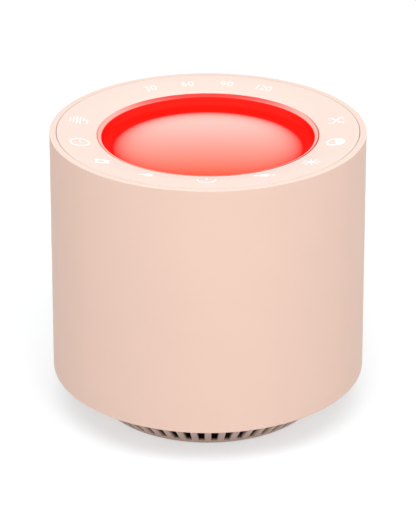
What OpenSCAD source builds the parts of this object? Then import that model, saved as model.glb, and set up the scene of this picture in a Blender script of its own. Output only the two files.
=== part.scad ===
// White noise sound machine: a drum with a glowing dish and a touch ring on top,
// on a slotted foot that a down-firing speaker plays into.
// Origin: centre of the face that it stands on, +Z up. The front is -Y, the power socket is at +Y.

/* [Body shell] */
// Outer diameter at the shell's lower edge
shell_d_bottom = 100; // [99:0.5:108]
// Outer diameter at the shell's top edge
shell_d_top = 98.2; // [97.4:0.1:107]
// Height of the shell
shell_h = 80; // [74:1:110]
// Height of the shell's lower edge above the table
shell_lift = 12; // [10:0.5:20]
// Wall of the shell
shell_wall = 2; // [1.6:0.1:2.4]
// Rounding of the shell's outer edges
shell_round = 0.2; // [0.1:0.1:0.9]
// Width of the ledge under the touch ring
ledge_w = 2.4; // [1.6:0.1:2.8]
// Thickness of the ledge under the touch ring
ledge_t = 1.8; // [1.2:0.1:3]

/* [Touch ring] */
// Width of the ring, from its outer edge to the dish
ring_w = 12.4; // [11.5:0.1:14]
// How far the crowned top falls from its outer edge to its inner edge
ring_drop = 1.5; // [0.5:0.1:2.5]
// Thickness of the ring at its inner edge
ring_edge_t = 1.7; // [1.2:0.1:2.5]
// Seam between the ring and the shell's rim
ring_gap = 0.2; // [0.1:0.05:0.4]
// Rounding of the ring's inner edge
ring_round = 0.5; // [0.2:0.1:0.8]
// Thickness of the bonding tape
adhesive_t = 0.2; // [0.1:0.05:0.4]
// Thickness of the touch board
touch_board_t = 1.2; // [0.8:0.1:1.6]

/* [Light dish] */
// Depth of the dish below its rim
dish_depth = 4.7; // [4:0.1:7]
// Radius of the rounded lip
dish_lip_r = 1.3; // [0.6:0.1:1.8]
// Rise of the dish floor at its centre
dish_dome = 0.8; // [0:0.1:1.5]
// Wall of the diffuser
dish_wall = 1.6; // [1.2:0.1:2]
// Seam between the diffuser and the touch ring
dish_gap = 0.15; // [0.1:0.05:0.3]
// How far the diffuser's flange reaches under the ring
flange_w = 1.5; // [1:0.1:2]
// Thickness of the diffuser's flange
flange_t = 1.8; // [1.2:0.1:2.4]
// Space between the lamp board and the dish
light_gap = 12; // [8:0.5:16]
// Wall of the light cup
cup_wall = 1.5; // [1.2:0.1:2]
// How far the lamp board's edge lies inside the dish's rim
led_board_inset = 5; // [4.5:0.5:7]

/* [Speaker] */
// Diameter of the speaker's frame
speaker_d = 55; // [53:0.5:56]
// Depth of the pressed basket
basket_h = 13; // [12:0.5:15]
// Diameter of the voice coil's former, inside
coil_d = 18.8; // [17:0.2:20]
// Diameter of the ferrite magnet
magnet_d = 40; // [36:1:44]
// Thickness of the ferrite magnet
magnet_t = 7; // [5:0.5:8]
// Radius of the half-roll surround
roll_r = 2.4; // [2:0.1:2.6]
// Furthest travel of the cone either way
cone_travel = 1.5; // [0.5:0.1:1.8]
// Wall of the speaker chamber
chamber_wall = 1.6; // [1.2:0.1:2.2]
// Room above the magnet in the chamber
chamber_room = 1.7; // [1:0.1:3]

/* [Boards and power socket] */
// Diameter of the main board
main_board_d = 76; // [72:1:82]
// Thickness of the boards
board_t = 1.6; // [1:0.1:2]
// Height of the posts under the main board
board_post_h = 8; // [7.6:0.1:9]
// Height of the power board above the bottom cover
power_board_rise = 4; // [3.4:0.1:6]
// Width of the power socket's steel shell
usb_w = 8.94; // [8.6:0.02:9.2]
// Height of the power socket's steel shell
usb_h = 3.26; // [3:0.02:3.5]
// Length of the power socket's steel shell
usb_l = 7.35; // [6.5:0.05:8]
// Diameter of the leads
lead_d = 1.6; // [1.2:0.1:1.8]

/* [Bottom cover and foot] */
// Thickness of the bottom cover
cover_t = 2.4; // [2:0.1:3]
// Depth of the bottom cover inside the shell's lower edge
cover_recess = 0.4; // [0:0.1:1]
// Gap between the foot's rim and the shell's lower edge
foot_gap = 0.6; // [0.4:0.1:2]
// Outer diameter of the slotted foot at its bottom
foot_d_bottom = 70.6; // [70:0.1:76]
// Wall of the slotted foot, measured level
foot_wall = 2.4; // [2:0.1:2.6]
// Thickness of the foot's floor
foot_floor_t = 2; // [1.6:0.1:2.6]
// Number of slots
slot_count = 60; // [48:1:66]
// Width of a bar between two slots
bar_w = 2.05; // [1.6:0.05:2.4]
// Height of the sill under the slots
slot_sill = 2.2; // [1.6:0.1:3]
// Height of the rim over the slots
slot_head = 1.4; // [0.8:0.1:2.5]
// Height of the sound deflector on the foot's floor
deflector_h = 4; // [2:0.5:5]
// Width of the rubber ring under the foot
rubber_w = 6; // [5.4:0.1:6.2]
// Thickness of the rubber ring
rubber_t = 1; // [0.8:0.1:1.2]
// How far the rubber ring stands below the foot
rubber_proud = 0.3; // [0.2:0.05:0.5]

/* [Screws] */
// Diameter of the small screws
screw_d = 2; // [1.8:0.1:2.2]
// Diameter of the foot and cover screws
long_screw_d = 2.5; // [2.2:0.1:2.8]

/* [Hidden] */
$fn = 72;

// Colours
peach = [0.92, 0.80, 0.74];
pale_peach = [0.99, 0.91, 0.86];
glow_red = [1.0, 0.20, 0.15];
milk = [0.95, 0.95, 0.93];
board_green = [0.10, 0.38, 0.24];
chip_black = [0.10, 0.10, 0.11];
steel = [0.72, 0.73, 0.75];
zinc = [0.80, 0.80, 0.82];
copper = [0.78, 0.45, 0.25];
brass = [0.83, 0.70, 0.40];
rubber_grey = [0.20, 0.20, 0.21];
foam_black = [0.13, 0.13, 0.13];
paper_dark = [0.17, 0.16, 0.15];
ferrite = [0.25, 0.25, 0.26];
abs_black = [0.16, 0.16, 0.17];
lamp_yellow = [0.97, 0.95, 0.80];
former_tan = [0.80, 0.62, 0.30];
cloth_tan = [0.72, 0.60, 0.36];

// Small clearances and shares of a screw
slack = 0.3;
cut = 0.1;
bore_slack = 0.05;
hole_slack = 0.2;
boss_wall = 1.45;
bore_roof = 0.6;
head_ratio = 1.9;
head_h_ratio = 0.6;
quarter_angles = [45, 135, 225, 315];
ear_angles = [0, 90, 180, 270];

// Radius of the shell's outside and inside at a height
top_z = shell_lift + shell_h;
function shell_r(z) = (shell_d_bottom + (shell_d_top - shell_d_bottom) * (z - shell_lift) / shell_h) / 2;
function bore_r(z) = shell_r(z) - shell_wall;

// Screw sizes: bores bite the thread, holes let it pass
bore = screw_d / 2 + bore_slack;
hole = screw_d / 2 + hole_slack;
boss = screw_d / 2 + boss_wall;
long_bore = long_screw_d / 2 + bore_slack;
long_hole = long_screw_d / 2 + hole_slack;
long_boss = long_screw_d / 2 + boss_wall;
long_head_r = long_screw_d * head_ratio / 2;
long_head_h = long_screw_d * head_h_ratio;

// Touch ring and its ledge
ring_r = bore_r(top_z) - ring_gap;
ring_bore_r = ring_r - ring_w;
ring_seat = top_z - ring_drop - ring_edge_t;
ledge_top = ring_seat - adhesive_t;
ledge_z = ledge_top - ledge_t;
ledge_r = ring_r - ledge_w;
function ring_z(r) = top_z - ring_drop * pow((ring_r - r) / (ring_r - ring_bore_r), 2);

// Dish: a rounded lip runs into a hollow fillet, which runs into the floor
rim_r = ring_bore_r - dish_gap;
rim_z = top_z - ring_drop;
dish_r = rim_r - dish_lip_r;
dish_floor_z = rim_z - dish_depth;
dish_fillet_r = dish_depth - dish_lip_r;
floor_r = dish_r - dish_fillet_r;
floor_under_z = dish_floor_z - dish_wall;
flange_z = ring_seat - flange_t;
flange_r = ring_bore_r + flange_w;
fillet_z = dish_floor_z + dish_fillet_r;
fillet_out_r = dish_fillet_r + dish_wall;
flange_angle = asin((flange_z - fillet_z) / fillet_out_r);
function dome_z(z, r) = z + dish_dome * (1 - pow(r / floor_r, 2));

// Touch board and the lamps on it
touch_board_z = ring_seat - touch_board_t;
touch_in_r = flange_r + slack;
touch_out_r = ledge_r - slack;
touch_mid_r = (touch_in_r + touch_out_r) / 2;
timer_angles = [117, 99, 81, 63];
timer_led_r = 1.1;
timer_led_size = [2.6, 3, 1];
touch_chip_angle = 250;
touch_chip_size = [5, 5, 0.9];

// Light cup and lamp board
cup_rim_w = flange_w;
cup_rim_h = 5;
led_board_r = ring_bore_r - led_board_inset;
led_board_z = floor_under_z - light_gap - board_t;
cup_floor_z = led_board_z - cup_wall;
cup_shelf_w = 4;
cup_boss_h = 4.8;
cup_ear_t = 2;
cup_ear_top = ledge_z - cup_boss_h;
cup_screw_r = bore_r(top_z) - boss;
cup_screw_l = 7;
led_screw_r = led_board_r - cup_shelf_w / 2;
led_screw_angles = [30, 150, 270];
led_screw_l = 4;
led_boss_h = 2;
led_size = [5, 5, 1.6];
outer_lamps_r = led_board_r - 9.5;
inner_lamps_r = 9;
lamp_rings = [[8, outer_lamps_r], [4, inner_lamps_r]];

// Bottom cover
cover_z = shell_lift + cover_recess;
cover_top = cover_z + cover_t;
cover_gap = 0.15;
cover_screw_angles = [30, 150, 210, 330];
cover_edge_w = 0.5;
cover_screw_r = bore_r(shell_lift) - cover_gap - cover_edge_w - long_head_r - hole_slack;
cover_boss_r = bore_r(shell_lift) + slack - cover_screw_r;
cover_boss_h = 14;
cover_screw_l = 10;
cover_head_depth = long_head_h;

// Speaker, which hangs with its front down on the cover
speaker_r = speaker_d / 2;
speaker_gasket_t = 0.8;
lip_t = 0.4;
lip_w = 2.9;
lip_z = cover_top + speaker_gasket_t;
frame_z = lip_z + lip_t;
basket_t = 0.9;
frame_in_r = speaker_r - lip_w - slack;
basket_top = frame_z + basket_h;
shelf_rise = 8.2;
shelf_set_in = 9.5;
shelf_w = 2.7;
neck_step = 1.5;
shelf_z = frame_z + shelf_rise;
shelf_in_r = speaker_r - shelf_set_in;
shelf_out_r = shelf_in_r + shelf_w;
neck_r = shelf_in_r - neck_step;
window_w = 15;
speaker_ear_r = speaker_r + boss + bore_slack;
speaker_screw_l = 4;
roll_mid_r = speaker_r - lip_w - roll_r;
roll_t = 0.5;
glue_lap = 0.2;
cone_r = roll_mid_r - roll_r + glue_lap;
cone_t = 0.4;
cone_depth = 5;
cone_rim_w = 1.3;
former_r = coil_d / 2;
former_t = 0.3;
former_out_r = former_r + former_t;
cone_neck_z = frame_z + cone_depth;
function cone_z(r) = frame_z + (cone_neck_z - frame_z) * (cone_r - cone_rim_w - r)
  / (cone_r - cone_rim_w - former_out_r);
cap_r = former_out_r + cone_rim_w;
cap_h = 2.6;
cap_t = 0.4;
spider_t = 0.35;
spider_wave = 0.6;
spider_waves = 3;
spider_out_r = shelf_out_r - basket_t - slack;
coil_gap = 0.4;
plate_t = 3;
plate_z = basket_top;
winding_t = 0.5;
winding_h = plate_t + 2 * cone_travel;
winding_z = plate_z - cone_travel;
plate_in_r = former_out_r + winding_t + coil_gap;
plate_w = 4.9;
plate_out_r = plate_in_r + plate_w;
magnet_z = plate_z + plate_t;
magnet_step = 1.4;
magnet_in_r = plate_in_r + magnet_step;
yoke_z = magnet_z + magnet_t;
yoke_t = 2.5;
yoke_step = 1.5;
yoke_r = magnet_d / 2 - yoke_step;
pole_gap = 0.35;
pole_r = former_r - pole_gap;
pole_drop = 0.4;
yoke_top = yoke_z + yoke_t;
terminal_angle = 112;
terminal_size = [1, 9, 6];
terminal_edge_w = 0.4;
terminal_r = speaker_r - terminal_size.x - terminal_edge_w;
tag_size = [0.4, 2, 5];
tag_pitch = 5;
tag_lift = 2.6;
tag_z = frame_z + basket_t + tag_lift;

// Speaker chamber
foot_boss_r = speaker_r + long_boss + slack;
chamber_in_r = foot_boss_r + long_boss + slack;
chamber_r = chamber_in_r + chamber_wall;
chamber_gasket_t = 0.6;
chamber_z = cover_top + chamber_gasket_t;
chamber_roof = yoke_top + chamber_room;
chamber_top = chamber_roof + chamber_wall;
chamber_ear_r = chamber_r + boss + slack;
chamber_ear_t = 2;
chamber_boss_h = 4;
chamber_screw_l = 6;
lead_hole_r = lead_d / 2 + 1.2;
grommet_t = 0.7;
grommet_r = lead_hole_r + 1;
speaker_lead_r = terminal_r + terminal_size.x + tag_size.x / 2;

// Main board and what it carries
board_post_r = chamber_in_r - boss - slack;
main_board_z = chamber_top + board_post_h;
board_top = main_board_z + board_t;
board_screw_l = 5;
socket_size = [4.6, 6, 3.2];
plug_size = [4, 5.2, 3.4];
plug_top = board_top + socket_size.z + plug_size.z;
low_plug_h = 2;
low_plug_z = main_board_z - socket_size.z - low_plug_h;
outer_plug_r = 26;
inner_plug_r = 16;
touch_plug = [200, outer_plug_r];
led_plug = [300, inner_plug_r];
power_plug = [90, outer_plug_r];
speaker_plug = [terminal_angle, speaker_lead_r];
top_plugs = [touch_plug, led_plug, power_plug];
controller_place = [7, 6];
controller_size = [10, 10, 1.4];
memory_place = [20, 6];
memory_size = [5.2, 5.2, 1.8];
amplifier_place = [-8, 7];
amplifier_size = [6, 6, 1];
coil_place = [-20, 7];
coil_size = [7, 7, 4];
capacitor_places = [[-9, -9], [-1, -9], [23, -9]];
capacitor_r = 3.15;
capacitor_h = 7.2;

// Room that the leads bend in
lead_bend = 4;
lead_dip = 2.6;
lead_sway = 0.8;

// Power board and socket
power_board_t = 1.2;
power_board_z = cover_top + power_board_rise;
power_board_top = power_board_z + power_board_t;
power_board_w = 19;
bracket_t = power_board_rise - 0.8;
bracket_w = 5;
power_screw_x = power_board_w / 2 - bracket_w / 2;
power_screw_l = 3.6;
power_board_y = chamber_r + 1.4;
usb_z = power_board_top + usb_h / 2;
power_board_end = bore_r(usb_z) - 1.4;
power_screw_y = power_board_y + 3;
usb_front = shell_r(usb_z) - 1;
usb_t = 0.3;
usb_clear = 0.3;
usb_recess = 0.6;
usb_recess_w = 3.6;
tongue_size = [6.7, 4.6, 0.7];
tongue_root = 1.2;

// Foot
foot_z = rubber_proud;
foot_floor_z = foot_z + foot_floor_t;
foot_r_top = bore_r(shell_lift) - foot_gap;
foot_r_bottom = foot_d_bottom / 2;
foot_chamfer = 0.3;
slot_z = foot_z + slot_sill;
slot_h = cover_z - slot_z - slot_head;
slot_angle = 360 / slot_count;
function foot_r(z) = foot_r_bottom + (foot_r_top - foot_r_bottom) * (z - foot_z) / (cover_z - foot_z);
deflector_r = 15;
pillar_r = long_boss + 0.5;
rubber_mid_r = foot_boss_r - 0.4;
groove_z = rubber_t;
foot_head_seat = groove_z + long_head_h + slack;
foot_boss_h = 5;
foot_screw_l = cover_top + foot_boss_h - foot_head_seat - 1;

// Points on an arc about a centre
function arc(c, r, from, to, n = 8) =
  [for (i = [0:n]) let (a = from + (to - from) * i / n) c + r * [cos(a), sin(a)]];

// Points on a smooth line through the given ones, n to each stretch
function bend(p, i, t) = let (a = p[max(i - 1, 0)], b = p[i], c = p[i + 1], d = p[min(i + 2, len(p) - 1)])
  0.5 * (2 * b + (c - a) * t + (2 * a - 5 * b + 4 * c - d) * t * t + (3 * b - a - 3 * c + d) * t * t * t);
function smooth(p, n = 4) =
  concat([for (i = [0:len(p) - 2], j = [0:n - 1]) bend(p, i, j / n)], [p[len(p) - 1]]);

// Puts a thing at an angle and a radius
module at(angle, r, z = 0) rotate([0, 0, angle]) translate([r, 0, z]) children();

// The same at each angle of a list
module around(angles, r, z = 0) for (a = angles) at(a, r, z) children();

// A ring with square edges
module band(r_in, r_out, z0, z1) rotate_extrude() translate([r_in, z0]) square([r_out - r_in, z1 - z0]);

// A block that stands on z = 0, centred on the axis
module block(size) translate([-size.x / 2, -size.y / 2, 0]) cube(size);

// A round-ended outline
module stadium(w, h) {
  square([w - h, h], center = true);
  for (side = [-1, 1]) translate([side * (w - h) / 2, 0]) circle(d = h);
}

// A cross-head screw: its seat is at z = 0, its thread points down
module screw(d, length) {
  head_top = d * head_h_ratio;
  translate([0, 0, -length]) cylinder(d = d, h = length + cut);
  difference() {
    cylinder(d = d * head_ratio, h = head_top);
    for (turn = [0, 90]) rotate([0, 0, turn])
      translate([0, 0, head_top / 2]) block([d * 1.1, d * 0.22, head_top]);
  }
}

// A lead in an upright plane through the axis; each point of its path is a radius and a height
module lead(angle, path, sides = 8) {
  line = smooth(path);
  last = len(line) - 1;
  points = [for (i = [0:last]) let (
    along = i == 0 ? path[1] - path[0] : i == last ? path[len(path) - 1] - path[len(path) - 2]
      : line[i + 1] - line[i - 1],
    out = [-along.y, along.x] / norm(along)
  ) for (k = [0:sides - 1]) let (
    c = cos(360 * k / sides) * lead_d / 2,
    s = sin(360 * k / sides) * lead_d / 2
  ) [line[i].x + out.x * c, s, line[i].y + out.y * c]];
  walls = [for (i = [0:last - 1], k = [0:sides - 1]) let (n = (k + 1) % sides)
    [i * sides + k, (i + 1) * sides + k, (i + 1) * sides + n, i * sides + n]];
  ends = [[for (k = [0:sides - 1]) k], [for (k = [sides - 1:-1:0]) last * sides + k]];
  rotate([0, 0, angle]) polyhedron(points, concat(walls, ends));
}

module outer_shell() color(peach) difference() {
  union() {
    rotate_extrude() polygon(concat(
      [[bore_r(shell_lift), shell_lift]],
      arc([shell_r(shell_lift) - shell_round, shell_lift + shell_round], shell_round, -90, 0, 6),
      arc([shell_r(top_z) - shell_round, top_z - shell_round], shell_round, 0, 90, 6),
      [[bore_r(top_z), top_z], [bore_r(ledge_top), ledge_top], [ledge_r, ledge_top],
       [ledge_r, ledge_z], [bore_r(ledge_z), ledge_z]]
    ));
    around(cover_screw_angles, cover_screw_r, cover_top + cut) cylinder(r = cover_boss_r, h = cover_boss_h);
    around(quarter_angles, cup_screw_r, cup_ear_top) cylinder(r = boss + slack, h = cup_boss_h + cut);
    for (side = [-1, 1])
      translate([side * power_screw_x - bracket_w / 2, power_board_y, power_board_z - bracket_t])
        cube([bracket_w, bore_r(usb_z) + slack - power_board_y, bracket_t]);
  }
  around(cover_screw_angles, cover_screw_r, cover_top) cylinder(r = long_bore, h = cover_boss_h - bore_roof);
  around(quarter_angles, cup_screw_r, cup_ear_top - cut)
    cylinder(r = bore, h = cup_boss_h + ledge_t - bore_roof);
  for (side = [-1, 1]) translate([side * power_screw_x, power_screw_y, power_board_z - bracket_t - cut])
    cylinder(r = bore, h = bracket_t + 2 * cut);
  translate([0, usb_front - shell_wall, usb_z]) rotate([-90, 0, 0])
    linear_extrude(2 * shell_wall) stadium(usb_w + 2 * usb_clear, usb_h + 2 * usb_clear);
  translate([0, shell_r(usb_z) - usb_recess, usb_z]) rotate([-90, 0, 0])
    linear_extrude(shell_wall) stadium(usb_w + usb_recess_w, usb_h + usb_recess_w);
}

module control_ring() color(pale_peach) rotate_extrude() polygon(concat(
  [[ring_r, ring_seat], [ring_bore_r, ring_seat]],
  arc([ring_bore_r + ring_round, ring_z(ring_bore_r + ring_round) - ring_round], ring_round, 180, 104, 5),
  [for (i = [1:12]) let (r = ring_bore_r + ring_round + (ring_r - ring_bore_r - ring_round) * i / 12)
    [r, ring_z(r)]]
));

module ring_adhesive() color(milk) band(ledge_r + slack, ring_r - slack, ledge_top, ring_seat);

module light_diffuser() color(glow_red) rotate_extrude() polygon(concat(
  [for (i = [0:6]) let (r = floor_r * i / 6) [r, dome_z(floor_under_z, r)]],
  arc([floor_r, fillet_z], fillet_out_r, -84, flange_angle, 7),
  [[flange_r, flange_z], [flange_r, ring_seat], [rim_r, ring_seat]],
  arc([rim_r, rim_z - dish_lip_r], dish_lip_r, 90, 180, 8),
  arc([floor_r, fillet_z], dish_fillet_r, -8, -90, 8),
  [for (i = [5:-1:0]) let (r = floor_r * i / 6) [r, dome_z(dish_floor_z, r)]]
));

module touch_board() color(board_green) difference() {
  band(touch_in_r, touch_out_r, touch_board_z, ring_seat);
  around(timer_angles, touch_mid_r, touch_board_z - cut)
    cylinder(r = timer_led_r + slack / 2, h = touch_board_t + 2 * cut);
}

module touch_chip() color(chip_black)
  at(touch_chip_angle, touch_mid_r, touch_board_z - touch_chip_size.z) block(touch_chip_size);

module timer_leds() color(milk) around(timer_angles, touch_mid_r, touch_board_z - timer_led_size.z) {
  block(timer_led_size);
  cylinder(r = timer_led_r, h = timer_led_size.z + touch_board_t / 2);
}

module light_cup() color(milk) {
  rim_in_r = flange_r - cup_rim_w;
  wall_z = flange_z - cup_rim_h;
  low_r = led_board_r + slack;
  difference() {
    union() {
      rotate_extrude() polygon([
        [rim_in_r, flange_z], [flange_r, flange_z], [flange_r, wall_z],
        [low_r + cup_wall, led_board_z + board_t], [low_r + cup_wall, cup_floor_z],
        [low_r - cup_shelf_w, cup_floor_z], [low_r - cup_shelf_w, led_board_z],
        [low_r, led_board_z], [low_r, led_board_z + board_t], [rim_in_r, wall_z]
      ]);
      difference() {
        around(quarter_angles, cup_screw_r, cup_ear_top - cup_ear_t) {
          cylinder(r = boss - slack, h = cup_ear_t);
          translate([-cup_screw_r + rim_in_r, slack - boss, 0])
            cube([cup_screw_r - rim_in_r, 2 * (boss - slack), cup_ear_t]);
        }
        translate([0, 0, cup_ear_top - cup_ear_t - cut])
          cylinder(r1 = low_r + cup_wall / 2, r2 = rim_in_r + cup_wall / 2, h = cup_ear_t + 2 * cut);
      }
      around(led_screw_angles, led_screw_r, cup_floor_z - led_boss_h)
        cylinder(r = boss - slack, h = led_boss_h + cut);
    }
    around(quarter_angles, cup_screw_r, cup_ear_top - cup_ear_t - cut)
      cylinder(r = hole, h = cup_ear_t + 2 * cut);
    around(led_screw_angles, led_screw_r, cup_floor_z - led_boss_h - cut)
      cylinder(r = bore, h = cup_wall + led_boss_h + 2 * cut);
  }
}

module cup_screws() color(zinc) around(quarter_angles, cup_screw_r, cup_ear_top - cup_ear_t)
  rotate([180, 0, 0]) screw(screw_d, cup_screw_l);

module led_board() color(milk) difference() {
  translate([0, 0, led_board_z]) cylinder(r = led_board_r, h = board_t);
  around(led_screw_angles, led_screw_r, led_board_z - cut) cylinder(r = hole, h = board_t + 2 * cut);
}

module light_leds() color(lamp_yellow) for (ring = lamp_rings)
  around([for (i = [0:ring[0] - 1]) 360 * i / ring[0]], ring[1], led_board_z + board_t) block(led_size);

module led_board_screws() color(zinc)
  around(led_screw_angles, led_screw_r, led_board_z + board_t) screw(screw_d, led_screw_l);

module touch_lead() color(rubber_grey) lead(touch_plug[0], [
  [touch_mid_r, touch_board_z], [touch_mid_r, touch_board_z - lead_d],
  [touch_mid_r + lead_sway, touch_board_z - 2 * lead_bend], [touch_mid_r + lead_sway, cup_floor_z + lead_bend],
  [touch_mid_r - lead_d, cup_floor_z - lead_sway], [outer_plug_r + 2 * lead_bend, cup_floor_z - lead_dip],
  [outer_plug_r + lead_dip, plug_top + lead_bend], [outer_plug_r, plug_top + lead_d],
  [outer_plug_r, plug_top]
]);

module led_lead() color(rubber_grey)
  lead(led_plug[0], [
    [inner_plug_r + lead_sway, led_board_z], [inner_plug_r + lead_sway, led_board_z - lead_d],
    [inner_plug_r, plug_top + lead_d], [inner_plug_r, plug_top]
  ]);

module main_board() color(board_green) difference() {
  translate([0, 0, main_board_z]) cylinder(d = main_board_d, h = board_t);
  around(quarter_angles, board_post_r, main_board_z - cut) cylinder(r = hole, h = board_t + 2 * cut);
}

module on_board(place) translate([place.x, place.y, board_top]) children();

module controller_chip() color(chip_black) on_board(controller_place) block(controller_size);

module sound_memory() color(chip_black) on_board(memory_place) block(memory_size);

module amplifier_chip() color(chip_black) on_board(amplifier_place) block(amplifier_size);

module filter_coil() color(ferrite) on_board(coil_place) {
  block([coil_size.x, coil_size.y, 1]);
  cylinder(d = coil_size.x, h = coil_size.z);
}

module capacitors() color(steel) for (place = capacitor_places) on_board(place) {
  block([2.1 * capacitor_r, 2.1 * capacitor_r, 1]);
  cylinder(r = capacitor_r, h = capacitor_h);
}

module board_sockets() color(milk) {
  for (plug = top_plugs) at(plug[0], plug[1], board_top) block(socket_size);
  at(speaker_plug[0], speaker_plug[1], main_board_z - socket_size.z) block(socket_size);
}

module lead_plugs() color(milk) {
  for (plug = top_plugs) at(plug[0], plug[1], board_top + socket_size.z) block(plug_size);
  at(speaker_plug[0], speaker_plug[1], low_plug_z) block([plug_size.x, plug_size.y, low_plug_h]);
}

module main_board_screws() color(zinc)
  around(quarter_angles, board_post_r, board_top) screw(screw_d, board_screw_l);

module power_board() color(board_green) difference() {
  translate([-power_board_w / 2, power_board_y, power_board_z])
    cube([power_board_w, power_board_end - power_board_y, power_board_t]);
  for (side = [-1, 1]) translate([side * power_screw_x, power_screw_y, power_board_z - cut])
    cylinder(r = hole, h = power_board_t + 2 * cut);
}

module usb_c_shell() color(steel) difference() {
  translate([0, usb_front - usb_l, usb_z]) rotate([-90, 0, 0]) linear_extrude(usb_l) stadium(usb_w, usb_h);
  translate([0, usb_front - usb_l + usb_t, usb_z]) rotate([-90, 0, 0])
    linear_extrude(usb_l) stadium(usb_w - 2 * usb_t, usb_h - 2 * usb_t);
}

module usb_c_tongue() color(chip_black) translate([0, usb_front - usb_l + usb_t, usb_z]) {
  translate([-tongue_size.x / 2, 0, -tongue_size.z / 2]) cube(tongue_size);
  translate([(usb_h - usb_w) / 2, 0, -usb_h / 2 + usb_t])
    cube([usb_w - usb_h, tongue_root, usb_h - 2 * usb_t]);
}

module power_board_screws() color(zinc) for (side = [-1, 1])
  translate([side * power_screw_x, power_screw_y, power_board_top]) screw(screw_d, power_screw_l);

module power_lead() color(rubber_grey) lead(power_plug[0], [
  [power_board_y + lead_d, power_board_top], [power_board_y + lead_d, power_board_top + lead_d],
  [power_board_y + lead_d + lead_sway, power_board_top + 2 * lead_bend],
  [main_board_d / 2 + lead_bend, chamber_top - 2 * lead_bend], [main_board_d / 2 + lead_bend, main_board_z],
  [main_board_d / 2, plug_top + lead_d], [outer_plug_r + lead_bend, plug_top + lead_bend],
  [outer_plug_r, plug_top + lead_d], [outer_plug_r, plug_top]
]);

module speaker_chamber() color(abs_black) difference() {
  union() {
    rotate_extrude() polygon([
      [chamber_in_r, chamber_z], [chamber_r, chamber_z], [chamber_r, chamber_top], [0, chamber_top],
      [0, chamber_roof], [chamber_in_r, chamber_roof]
    ]);
    around(quarter_angles, board_post_r, chamber_top - cut) cylinder(r = boss, h = board_post_h + cut);
    difference() {
      around(quarter_angles, chamber_ear_r, cover_top + chamber_boss_h) {
        cylinder(r = boss, h = chamber_ear_t);
        translate([-boss - chamber_wall, -boss, 0]) cube([boss + chamber_wall, 2 * boss, chamber_ear_t]);
      }
      translate([0, 0, cover_top]) cylinder(r = chamber_in_r + chamber_wall / 2, h = chamber_top);
    }
  }
  around(quarter_angles, board_post_r, main_board_z - board_screw_l)
    cylinder(r = bore, h = board_screw_l + cut);
  around(quarter_angles, chamber_ear_r, cover_top)
    cylinder(r = hole, h = chamber_boss_h + chamber_ear_t + cut);
  at(speaker_plug[0], speaker_plug[1], chamber_roof - cut)
    cylinder(r = lead_hole_r, h = chamber_wall + 2 * cut);
}

module chamber_gasket() color(foam_black) band(chamber_in_r, chamber_r, cover_top, chamber_z);

module chamber_screws() color(zinc)
  around(quarter_angles, chamber_ear_r, cover_top + chamber_boss_h + chamber_ear_t)
    screw(screw_d, chamber_screw_l);

module lead_grommet() color(rubber_grey) at(speaker_plug[0], speaker_plug[1]) rotate_extrude() polygon([
  [lead_d / 2, chamber_roof - grommet_t], [grommet_r, chamber_roof - grommet_t],
  [grommet_r, chamber_roof], [lead_hole_r, chamber_roof], [lead_hole_r, chamber_top],
  [grommet_r, chamber_top], [grommet_r, chamber_top + grommet_t],
  [lead_d / 2, chamber_top + grommet_t]
]);

module speaker_lead() color(rubber_grey) lead(speaker_plug[0], [
  [speaker_lead_r, tag_z + tag_size.z], [speaker_lead_r, chamber_roof - 4],
  [speaker_lead_r, low_plug_z]
]);

module speaker_basket() color(steel) difference() {
  union() {
    rotate_extrude() polygon([
      [speaker_r, frame_z], [speaker_r, frame_z + basket_t], [frame_in_r + basket_t, frame_z + basket_t],
      [shelf_out_r, shelf_z + basket_t], [shelf_in_r + basket_t, shelf_z + basket_t],
      [neck_r + basket_t, basket_top], [plate_in_r + slack, basket_top],
      [plate_in_r + slack, basket_top - basket_t], [neck_r, basket_top - basket_t],
      [shelf_in_r, shelf_z], [shelf_out_r - basket_t, shelf_z], [frame_in_r, frame_z]
    ]);
    around(ear_angles, speaker_ear_r, frame_z) {
      cylinder(r = boss, h = basket_t);
      translate([speaker_r - speaker_ear_r - 1, -boss, 0])
        cube([speaker_ear_r - speaker_r + 1, 2 * boss, basket_t]);
    }
  }
  around(ear_angles, speaker_ear_r, frame_z - cut) cylinder(r = hole, h = basket_t + 2 * cut);
  around(quarter_angles, shelf_out_r, frame_z + 2 * basket_t)
    translate([-2.5, -window_w / 2, 0]) cube([8, window_w, shelf_z - frame_z - 3 * basket_t]);
}

module speaker_gasket() color(foam_black) band(speaker_r - lip_w + slack, speaker_r, cover_top, lip_z);

module speaker_top_plate() color(zinc) band(plate_in_r, plate_out_r, plate_z, magnet_z);

module speaker_magnet() color(ferrite) band(magnet_in_r, magnet_d / 2, magnet_z, yoke_z);

module speaker_yoke() color(zinc) {
  translate([0, 0, yoke_z]) cylinder(r = yoke_r, h = yoke_t);
  translate([0, 0, plate_z - pole_drop]) cylinder(r = pole_r, h = yoke_z - plate_z + pole_drop + cut);
}

module speaker_terminals() color(brass) at(terminal_angle, 0, frame_z + basket_t) {
  translate([terminal_r, -terminal_size.y / 2, 0]) cube(terminal_size);
  for (side = [-1, 1])
    translate([terminal_r + terminal_size.x, side * tag_pitch / 2 - tag_size.y / 2, tag_lift])
      cube(tag_size);
  translate([terminal_r + terminal_size.x, -tag_size.y, tag_lift + tag_size.z / 2])
    cube([tag_size.x, 2 * tag_size.y, tag_size.z / 2]);
}

module speaker_screws() color(zinc)
  around(ear_angles, speaker_ear_r, frame_z + basket_t) screw(screw_d, speaker_screw_l);

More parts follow.
